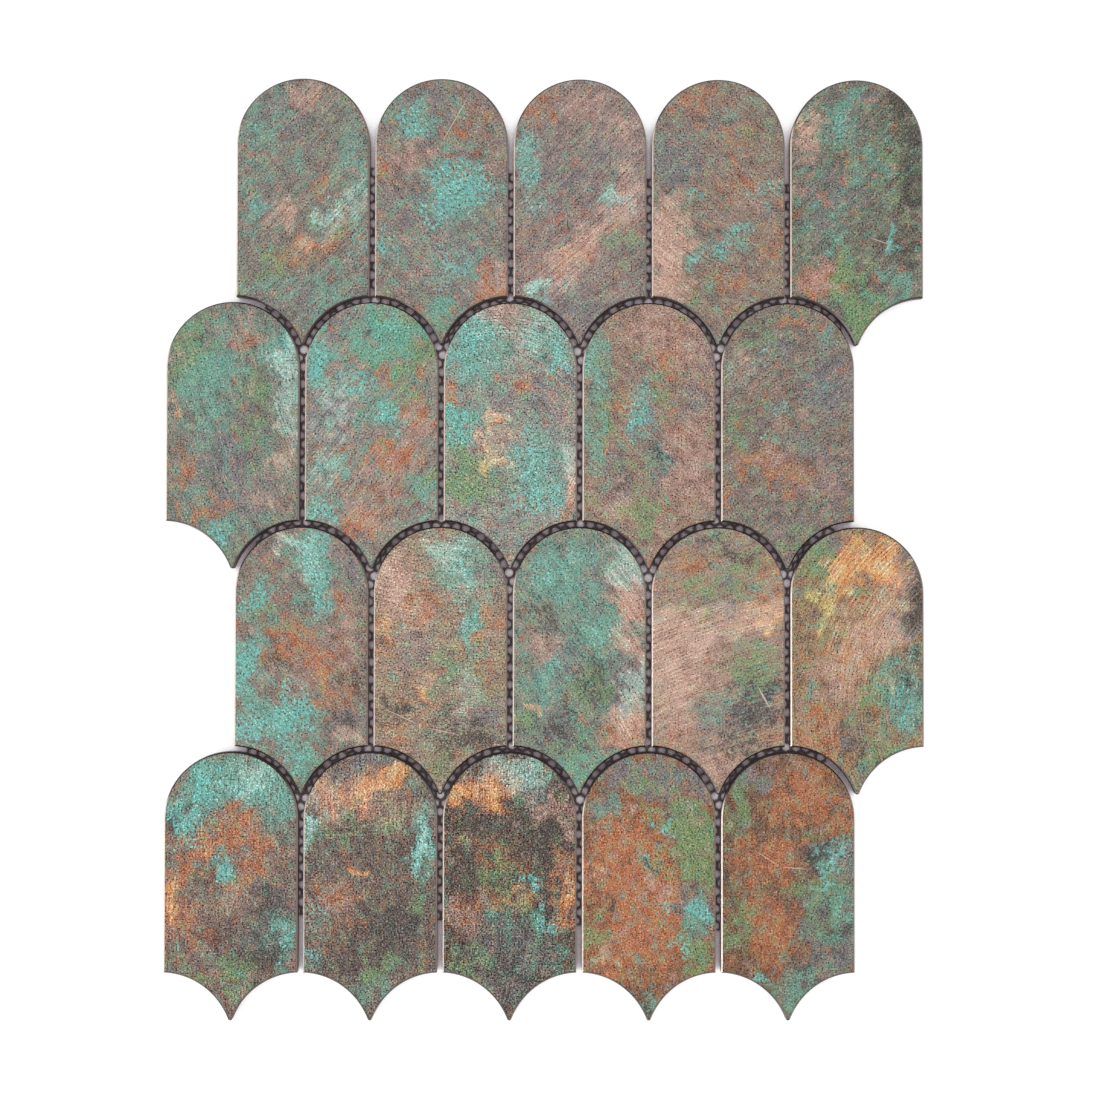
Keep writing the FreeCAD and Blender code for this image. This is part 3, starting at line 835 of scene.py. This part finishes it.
@dataclass(frozen=True)
class PatinaFinish:
    """Grainy patina on brushed metal, a bevel round it with painted light and shade, and dark board on the
    sides.
    """

    outline: Outline
    # Bevel colours by the way an edge faces: a painted highlight, and painted shade.
    bevel_dome_painted_shade: Rgb = (50, 43, 42)
    bevel_foot_painted_shade: Rgb = (112, 101, 98)
    bevel_left_painted_highlight: Rgb = (214, 198, 184)
    bevel_right_painted_shade: Rgb = (146, 132, 126)
    board: Rgb = (84, 70, 68)
    back_coat: Rgb = (150, 148, 146)
    rim_line: Rgb = (48, 41, 41)
    crack_line: Rgb = (50, 44, 44)
    hairline_and_glint: Rgb = (232, 212, 192)
    scratch_line: Rgb = (226, 204, 188)
    # Depth of the metal on the front and the back of the board, and how near counts as the same height.
    metal_front: float = 0.9
    metal_back: float = 0.4
    near: float = 0.01
    # Sizes of the blots in each layer of noise, and the width of the brush marks.
    patch_size: float = 9.0
    mottle_size: float = 4.4
    crack_size: float = 2.6
    speck_size: float = 1.1
    grain_size: float = 0.55
    streak_size: float = 0.42
    # How far noise is squeezed across and along the brush marks, and how far the brush marks themselves are.
    squeeze: tuple[float, float, float] = (1.1, 0.85, 0.0)
    streak_squeeze: float = 0.028
    face_middle: float = -24.0
    # How far patches and mottle push the edges of the blooms about.
    patch_bend: float = 14.0
    mottle_bend: float = 7.0
    # How far a bloom runs past its half sizes, how strong it is, and the level at which a tone is half there.
    spread: float = 1.45
    push: float = 1.55
    half_there: float = 0.5
    # How far mottle carries coloured and other tones, what patches add, and how far confined tones break up.
    colour_drift: float = 2.4
    other_drift: float = 1.6
    patch_drift: float = 0.8
    confined_drift: float = 1.3
    scratch_reach: float = 0.6

    def bloom_level(self, graph: Graph, place: Wire, spots: list[Spot]) -> Wire:
        """Add up the blooms of one tone.

        Args:
            graph: The material's nodes.
            place: Place on the scale.
            spots: The blooms.

        Returns:
            How strong the tone is there.
        """
        total: Setting = 0.0
        for spot in spots:
            half = (spot.across * self.spread, spot.along * self.spread)
            cone = graph.oval(place, (spot.u, spot.v), math.radians(spot.turn), half)
            total = cone.math("MULTIPLY_ADD", cone, spot.percent / 100 * self.push, total)
        return total

    def scratch(self, graph: Graph, place: Wire, mark: Scratch) -> Wire:
        """A thin line that fades out towards both ends.

        Args:
            graph: The material's nodes.
            place: Place on the scale.
            mark: The scratch.

        Returns:
            1 on the line and 0 off it.
        """
        along = Vector((mark.u1 - mark.u0, mark.v1 - mark.v0))
        middle = ((mark.u0 + mark.u1) / 2, (mark.v0 + mark.v1) / 2)
        half = (along.length * self.scratch_reach, mark.width)
        return graph.oval(place, middle, math.atan2(along.y, along.x), half).ramp(0.1, 0.6)

    def brush_marks(self, graph: Graph, place: Wire, centre: tuple[float, float]) -> Wire:
        """Fine streaks that run round a point.

        Args:
            graph: The material's nodes.
            place: Place on the scale.
            centre: The point.

        Returns:
            Streaks about 0.5.
        """
        u, v, _ = graph.parts(graph.vector("SUBTRACT", place, (*centre, 0.0)))
        reach = math.hypot(centre[0], centre[1] - self.face_middle)
        away = graph.vector("LENGTH", graph.join(u, v), output=1)
        turn = u.math("ARCTAN2", v, u)
        streaks = graph.join(away, turn * (reach * self.streak_squeeze))
        return graph.noise(streaks, self.streak_size, 2.0, 0.6)

    def drawn_out(self, graph: Graph, sheet: Wire, centre: tuple[float, float]) -> Wire:
        """Places squeezed so that noise read there is drawn out along the brush marks.

        Args:
            graph: The material's nodes.
            sheet: Place on the whole sheet.
            centre: The point that the brush marks run round.

        Returns:
            The squeezed places.
        """
        turn = math.atan2(centre[1] - self.face_middle, centre[0])
        turned = graph.node("ShaderNodeMapping", sockets={"Vector": sheet, "Rotation": (0.0, 0.0, -turn)})
        return graph.vector("MULTIPLY", turned, self.squeeze)

    def face(self, graph: Graph, place: Wire, sheet: Wire, paint: Paint) -> tuple[Wire, Wire, Wire, Wire]:
        """Paint the finished face.

        Args:
            graph: The material's nodes.
            place: Place on the scale.
            sheet: Place on the whole sheet.
            paint: What is on this scale.

        Returns:
            Colour, metallic part, roughness and height.
        """
        drawn = self.drawn_out(graph, sheet, paint.brush)
        patch = graph.noise(sheet, self.patch_size, 1.0)
        mottle = graph.noise(drawn, self.mottle_size, 2.0, 0.6)
        speck = graph.noise(drawn, self.speck_size, 1.0) - 0.5
        grain = graph.noise(sheet, self.grain_size, 1.0, 0.6) - 0.5
        marks = self.brush_marks(graph, place, paint.brush) - 0.5
        half = (0.5, 0.5, 0.5)
        patch_way = graph.vector("SUBTRACT", patch.output("Color"), half)
        mottle_way = graph.vector("SUBTRACT", mottle.output("Color"), half)
        bent = graph.vector("MULTIPLY_ADD", patch_way, (self.patch_bend, self.patch_bend, 0.0), place)
        bent = graph.vector("MULTIPLY_ADD", mottle_way, (self.mottle_bend, self.mottle_bend, 0.0), bent)
        patches, mottles = graph.parts(patch_way), graph.parts(mottle_way)

        dark_ground = ink(*(part * 0.93 for part in paint.ground))
        light_ground = ink(*(min(part * 1.07, 255) for part in paint.ground))
        colour = graph.mix(mottles[2].ramp(-0.25, 0.25), dark_ground, light_ground)
        crust: Setting = 0.0
        sheen: Setting = 0.0
        for number, tone in enumerate(Tone):
            pigment, spots = PIGMENTS[tone], paint.blooms(tone)
            if pigment.painted_sheen and not spots:
                continue
            # The three parts of the noise serve three tones the right way up and the next three upside down.
            side = -1 if number // 3 % 2 else 1
            reach = self.colour_drift * paint.mingling if tone in COLOURED else self.other_drift
            drift = mottles[number % 3] * (side * reach)
            drift = drift + patches[(number + 1) % 3] * (self.patch_drift * side)
            drift = speck * pigment.stipple + drift
            if pigment.painted_sheen:
                drift = drift + marks
            bloom = self.bloom_level(graph, bent, spots) * pigment.reach if spots else 0.0
            if pigment.confined:
                level = (drift * self.confined_drift + 1) * (bloom + pigment.stray)
            else:
                level = drift + bloom + pigment.stray
            cover = pigment.cover * (paint.strength if tone in COLOURED else 1.0)
            margin = pigment.softness / 2
            mask = level.ramp(self.half_there - margin, self.half_there + margin, 0.0, cover)
            tint = mottles[(number + 1) % 3] + speck * 0.2
            shade = graph.mix(tint.ramp(-0.25, 0.25, 0.15, 0.85), ink(*pigment.deep), ink(*pigment.light))
            # Tones with painted sheen go on by Screen, as a painted highlight.
            colour = graph.mix(mask, colour, shade, "SCREEN" if pigment.painted_sheen else "MIX")
            if tone in (Tone.VERDIGRIS, Tone.TURQUOISE, Tone.BARK):
                crust = mask.most(crust)
            if pigment.painted_sheen:
                sheen = mask.most(sheen)

        # Pale flecks and dark pits, with plain colour between them; brush marks show more in the painted
        # sheen.
        brushed = sheen * 0.6 + (0.08 + 0.24 * paint.brushing)
        speckle = (grain * 0.75 + speck * 0.2) * paint.grit + marks * brushed
        flecks = speckle.ramp(0.03, 0.33) - speckle.ramp(-0.31, -0.03, 1.0, 0.0)
        colour = graph.mix(0.5, colour, graph.grey(flecks * 0.88 + 0.47), "OVERLAY")
        colour = graph.mix(0.11, colour, graph.grey(flecks * 0.88 + 0.52), "LINEAR_LIGHT")
        # The pits can take a colour below black, so black is the least from here on.
        colour = graph.mix(1.0, colour, (0.0, 0.0, 0.0, 1.0), "LIGHTEN")
        veins = abs(graph.noise(drawn, self.crack_size, 2.0, 0.6) - 0.5)
        cracks = veins.ramp(0.0, 0.045, 0.6 * (paint.grit - 0.7), 0.0)
        colour = graph.mix(cracks, colour, ink(*self.crack_line))
        # Pale hairlines: brush scratches, with painted glints where the painted sheen lies.
        bare = patches[0].ramp(-0.05, 0.12, 0.0, 0.5 * paint.brushing)
        hairlines_and_glints = marks.ramp(0.08, 0.22, 0.0, 0.4) * (sheen * 0.8 + bare)
        colour = graph.mix(hairlines_and_glints, colour, ink(*self.hairline_and_glint))
        for mark in paint.scratches:
            colour = graph.mix(self.scratch(graph, place, mark) * 0.7, colour, ink(*self.scratch_line))

        metallic = crust.ramp(0.0, 1.0, 0.75, 0.25)
        roughness = crust.ramp(0.0, 1.0, 0.40, 0.62) + grain * 0.25
        return colour, metallic, roughness, grain + marks

    def material(self, name: str, middle: tuple[float, float], paint: Paint) -> bpy.types.Material:
        """Make the finish of one scale.

        Args:
            name: The material's name.
            middle: The middle of the scale's dome on the sheet.
            paint: What is on the scale.

        Returns:
            The material.
        """
        shape = self.outline
        material, graph = new_finish(name)
        at = graph.node("ShaderNodeTexCoord", output="Object")
        height = graph.parts(at)[2] * (1 / MM)
        sheet = graph.vector("MULTIPLY", at, (1 / MM, 1 / MM, 0.0))
        place = graph.vector("SUBTRACT", sheet, (*middle, 0.0))
        u, v, _ = graph.parts(place)
        colour, metallic, roughness, relief = self.face(graph, place, sheet, paint)

        in_dome, in_scallop = shape.depth_wires(graph, u, v)
        rim = in_dome.ramp(0.5, 0.8, 0.2, 0.0).most(in_scallop.ramp(0.5, 0.9, 0.45, 0.0))
        colour = graph.mix(rim, colour, ink(*self.rim_line))
        on_bevel = height < shape.face_height - 2 * self.near
        on_side = height < shape.face_height - shape.bevel - self.near
        under_front = height < shape.face_height - self.metal_front
        on_board = under_front * (1 - (height < shape.back_height + self.metal_back))
        on_back = height < shape.back_height + self.near

        # Painted light and shade on the bevel: the straight left edges are pale as a painted highlight,
        # the right ones grey, the domes and left scallops dark and dull, and the rest darkened metal, as
        # painted shade.
        across, along, _ = graph.parts(graph.node("ShaderNodeNewGeometry", output="Normal"))
        leftward = (across * -1).ramp(0.3, 0.5)
        left_painted_highlight = leftward * along.ramp(0.12, 0.3, 1.0, 0.0) * along.ramp(-0.15, -0.05)
        dull = along.ramp(-0.35, -0.15).most(leftward)
        edge = graph.mix(dull, ink(*self.bevel_foot_painted_shade), ink(*self.bevel_dome_painted_shade))
        edge = graph.mix(across.ramp(0.55, 0.68), edge, ink(*self.bevel_right_painted_shade))
        colour = graph.mix(on_bevel, colour, graph.mix(left_painted_highlight, edge, ink(*self.bevel_left_painted_highlight)))
        colour = graph.mix(on_board, colour, ink(*self.board))
        colour = graph.mix(on_back, colour, ink(*self.back_coat))
        covered = on_board.most(on_back).most(dull * on_bevel * 0.8)
        metallic = (metallic * (1 - on_bevel) + on_bevel) * (1 - covered)
        roughness = roughness * (1 - on_bevel) + on_bevel * 0.25 + on_side * 0.3

        bump = graph.node(
            "ShaderNodeBump",
            sockets={"Strength": 0.35, "Distance": 0.00004, "Height": relief * (1 - on_bevel)},
        )
        shader = graph.node(
            "ShaderNodeBsdfPrincipled",
            sockets={"Base Color": colour, "Metallic": metallic, "Roughness": roughness, "Normal": bump},
        )
        graph.node("ShaderNodeOutputMaterial", sockets={"Surface": shader})
        return material


@dataclass
class ScaleField:
    """The twenty loose scales, which keep their solids and get their finish here."""

    finish: PatinaFinish
    outline: Outline
    rows: int = 4
    columns: int = 5

    def middle(self, name: str) -> tuple[float, float]:
        """The middle of a scale's dome on the sheet, in millimetres."""
        low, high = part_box(name)
        return (low[0] + high[0]) / 2 / MM, high[1] / MM - self.outline.half_width

    def places(self) -> Iterator[tuple[str, tuple[int, int]]]:
        """Each scale's name with its row and column."""
        for row in range(1, self.rows + 1):
            for column in range(1, self.columns + 1):
                yield f"scale_row{row}_col{column}", (row, column)

    def dress(self) -> None:
        """Give every scale its own patina."""
        for name, place in self.places():
            material = self.finish.material(f"patina_{name}", self.middle(name), PAINTS[place])
            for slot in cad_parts[name].material_slots:
                slot.material = material
            tones = sum(bool(PAINTS[place].blooms(tone)) for tone in Tone)
            LOG.info("%s: patina with %d tones", name, tones)


# Backing net


@dataclass(frozen=True)
class NetFinish:
    """Matt black plastic with a dull, slightly dusty skin."""

    dark: Rgb = (72, 60, 58)
    dusty: Rgb = (108, 92, 91)
    dust_size: float = 2.5
    grain_size: float = 0.3

    def material(self) -> bpy.types.Material:
        """Make the material.

        Returns:
            The material.
        """
        material, graph = new_finish("net_black_plastic")
        at = graph.node("ShaderNodeTexCoord", output="Object")
        in_mm = graph.vector("MULTIPLY", at, (1 / MM, 1 / MM, 1 / MM))
        dust = graph.noise(in_mm, self.dust_size, 4.0, 0.65)
        grain = graph.noise(in_mm, self.grain_size)
        colour = graph.mix(dust.ramp(0.35, 0.7), ink(*self.dark), ink(*self.dusty))
        bump = graph.node("ShaderNodeBump", sockets={"Strength": 0.3, "Distance": 0.00003, "Height": grain})
        shader = graph.node(
            "ShaderNodeBsdfPrincipled",
            sockets={"Base Color": colour, "Roughness": 0.5 + dust * 0.2, "Normal": bump},
        )
        graph.node("ShaderNodeOutputMaterial", sockets={"Surface": shader})
        return material


@dataclass
class BackingNet:
    """The net that carries the scales: a thin sheet with rows of round holes, each row half a pitch aside."""

    scales: ScaleField
    finish: NetFinish = field(default_factory=NetFinish)
    hole: float = 3.2
    pitch: float = 3.6
    askew: float = -2.1
    sides_seen: int = 12
    sides_hidden: int = 6

    @property
    def row_step(self) -> float:
        """Distance from one row of holes to the next."""
        return self.pitch * math.sqrt(3) / 2

    def is_covered(self, x: float, y: float, middles: list[tuple[float, float]]) -> bool:
        """Whether a hole lies wholly under one scale.

        Args:
            x: The hole's place across the sheet.
            y: The hole's place along it.
            middles: The middles of all domes.

        Returns:
            True where no part of the hole shows from the front.
        """
        deep = self.hole / 2
        return any(self.scales.outline.depth(x - u, y - v) > deep for u, v in middles)

    def add_cell(
        self, mesh: bmesh.types.BMesh, x: float, y: float, low: float, high: float, sides: int
    ) -> None:
        """Add the six-sided cell round one hole.

        Args:
            mesh: The mesh that is built.
            x: The hole's place across the sheet.
            y: The hole's place along it.
            low: Height of the net's back.
            high: Height of its front.
            sides: How many sides the hole has, a multiple of six.
        """
        corner = self.pitch / math.sqrt(3)

        def ring(radius: float, count: int, height: float) -> list[bmesh.types.BMVert]:
            """Set vertices out on a circle, the first at 30 degrees.

            Args:
                radius: The circle's radius.
                count: How many vertices it gets.
                height: The height it lies at.

            Returns:
                The vertices in order.
            """
            turns = [math.tau * (index / count + 1 / 12) for index in range(count)]
            points = [(x + radius * math.cos(turn), y + radius * math.sin(turn), height) for turn in turns]
            return [mesh.verts.new([part * MM for part in point]) for point in points]

        step = sides // 6
        faces = []
        for height in (low, high):
            outer, inner = ring(corner, 6, height), ring(self.hole / 2, sides, height)
            faces.append(inner)
            for index in range(6):
                after = (index + 1) % 6
                arc = [inner[(index * step + part) % sides] for part in range(step + 1)]
                web = [outer[index], outer[after], *reversed(arc)]
                mesh.faces.new(web if height == high else web[::-1])
        below, above = faces
        for index in range(sides):
            after = (index + 1) % sides
            mesh.faces.new((below[index], above[index], above[after], below[after]))

    def trim(self, mesh: bmesh.types.BMesh, low: Vector, high: Vector) -> None:
        """Cut the net off square on its four sides and close the cut strands.

        Args:
            mesh: The mesh that is cut.
            low: Lowest corner of the net.
            high: Highest corner of the net.
        """
        for point, way in ((low, (-1, 0, 0)), (low, (0, -1, 0)), (high, (1, 0, 0)), (high, (0, 1, 0))):
            everything = [*mesh.verts, *mesh.edges, *mesh.faces]
            bmesh.ops.bisect_plane(
                mesh, geom=everything, dist=1e-7, plane_co=point, plane_no=way, clear_outer=True
            )
        open_edges = [edge for edge in mesh.edges if edge.is_boundary]
        bmesh.ops.holes_fill(mesh, edges=open_edges, sides=0)

    def build(self) -> bpy.types.Object:
        """Build the net in place of its plain sheet.

        Returns:
            The net.
        """
        low, high = (Vector(corner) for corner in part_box("backing_net"))
        middles = [self.scales.middle(name) for name, _ in self.scales.places()]
        mesh = bmesh.new()
        askew = Matrix.Rotation(math.radians(self.askew), 4, "Z")
        rows = math.ceil(high.y / MM / self.row_step) + 1
        columns = math.ceil(high.x / MM / self.pitch) + 1
        for row in range(-rows, rows + 1):
            for column in range(-columns, columns + 1):
                x, y = (column + row % 2 / 2) * self.pitch, row * self.row_step
                if abs(x) * MM > high.x + self.pitch * MM or abs(y) * MM > high.y + self.pitch * MM:
                    continue
                laid = askew @ Vector((x, y, 0.0))
                sides = self.sides_hidden if self.is_covered(laid.x, laid.y, middles) else self.sides_seen
                self.add_cell(mesh, x, y, low.z / MM, high.z / MM, sides)
        bmesh.ops.remove_doubles(mesh, verts=mesh.verts, dist=2e-6)
        self.trim(mesh, low, high)
        mesh.transform(askew)
        net = new_object("net_strands", mesh, self.finish.material())
        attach(net, "root")
        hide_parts("backing_net")
        triangles = sum(len(face.vertices) - 2 for face in net.data.polygons)
        LOG.info("net_strands: %d triangles", triangles)
        return net


# Studio


@dataclass
class Studio:
    """White floor with painted shade at the sheet, soft light from all round, and a camera over the sheet."""

    floor_half: float = 30.0
    floor_drop: float = 0.0002
    # Floor in the painted shade and in the open, the tint of its white in the painted shade, and the shade's
    # reach.
    paper_shaded: Rgb = (0.215, 0.155, 0.18)
    paper_open: Rgb = (0.42, 0.42, 0.42)
    white_shaded: Rgb = (0.90, 0.70, 0.79)
    shade_reach: float = 0.008
    # Way to the low light and how strong that is.
    glow_way: tuple[float, float, float] = (-0.906, -0.423, 0.0)
    glow: float = 7.0
    camera_place: tuple[float, float, float] = (-0.00232, -0.01331, 0.700)
    camera_turn: tuple[float, float, float] = (1.033, -0.344, 0.091)
    lens: float = 63.25
    sensor: float = 36.0

    def seen_directly(self, graph: Graph) -> Wire:
        """1 for rays from the camera, in mirrors and through glass, else 0."""
        path = graph.node("ShaderNodeLightPath", output="Is Camera Ray")
        return path.most(path.output("Is Glossy Ray")).most(path.output("Is Transmission Ray"))

    def build_floor(self) -> None:
        """Lay the floor, a sheet of paper that runs out of every view."""
        material, graph = new_finish("floor_white")
        # Ambient occlusion paints shade on the floor: in the joints and at the sheet's foot the paper darkens
        # and turns lilac, and its white glow fades.
        shade = graph.node("ShaderNodeAmbientOcclusion", {"samples": 8}, {"Distance": self.shade_reach}, "AO")
        open_sky = shade.ramp(0.22, 0.52)
        paper_with_painted_shade = graph.mix(open_sky, (*self.paper_shaded, 1.0), (*self.paper_open, 1.0))
        paper = graph.node("ShaderNodeBsdfDiffuse", sockets={"Color": paper_with_painted_shade})
        white = graph.grey(self.seen_directly(graph) * (open_sky * 0.66 + 0.06))
        tint = graph.mix(open_sky, (*self.white_shaded, 1.0), (1.0, 1.0, 1.0, 1.0))
        light = graph.mix(1.0, white, tint, "MULTIPLY")
        glow = graph.node("ShaderNodeEmission", sockets={"Color": light, "Strength": 1.0})
        both = graph.node("ShaderNodeAddShader", sockets={0: paper, 1: glow})
        graph.node("ShaderNodeOutputMaterial", sockets={"Surface": both})
        mesh = bmesh.new()
        bmesh.ops.create_grid(mesh, x_segments=8, y_segments=8, size=self.floor_half)
        floor = new_object("floor", mesh, material)
        floor.location.z = -self.floor_drop

    def build_light(self) -> None:
        """Light the sheet from the whole sky, with a glow low down on the near left and a pale horizon."""
        world = bpy.data.worlds.new("studio")
        bpy.context.scene.world = world
        world.use_nodes = True
        graph = Graph(world.node_tree)
        way = graph.node("ShaderNodeTexCoord", output="Generated")
        height = graph.parts(way)[2]
        left = graph.vector("DOT_PRODUCT", way, self.glow_way, output=1)
        low_glow = left.ramp(0.80, 0.97, 0.0, self.glow) * height.ramp(0.30, 0.50, 1.0, 0.0)
        horizon = height.ramp(0.03, 0.07, 0.95, 0.0)
        sky = height.ramp(0.05, 0.45, 0.05, 1.0) + low_glow + horizon
        back = graph.node("ShaderNodeBackground", sockets={"Color": graph.grey(sky), "Strength": 1.0})
        graph.node("ShaderNodeOutputWorld", sockets={"Surface": back})

    def build_camera(self) -> None:
        """Hang the camera over the sheet, looking almost straight down."""
        data = bpy.data.cameras.new("camera")
        data.lens = self.lens
        data.sensor_width = self.sensor
        camera = bpy.data.objects.new("camera", data)
        camera.location = self.camera_place
        camera.rotation_euler = [math.radians(turn) for turn in self.camera_turn]
        bpy.context.scene.collection.objects.link(camera)
        bpy.context.scene.camera = camera

    def build(self) -> None:
        """Build floor, light and camera."""
        self.build_camera()
        self.build_floor()
        self.build_light()
        bpy.context.scene.view_settings.view_transform = "Standard"
        LOG.info("studio: floor, light and camera")


def main() -> None:
    """Build the studio, dress the scales and make the net."""
    logging.basicConfig(level=logging.INFO)
    outline = Outline()
    Studio().build()
    scales = ScaleField(PatinaFinish(outline), outline)
    scales.dress()
    BackingNet(scales).build()


if __name__ == "__main__":
    main()
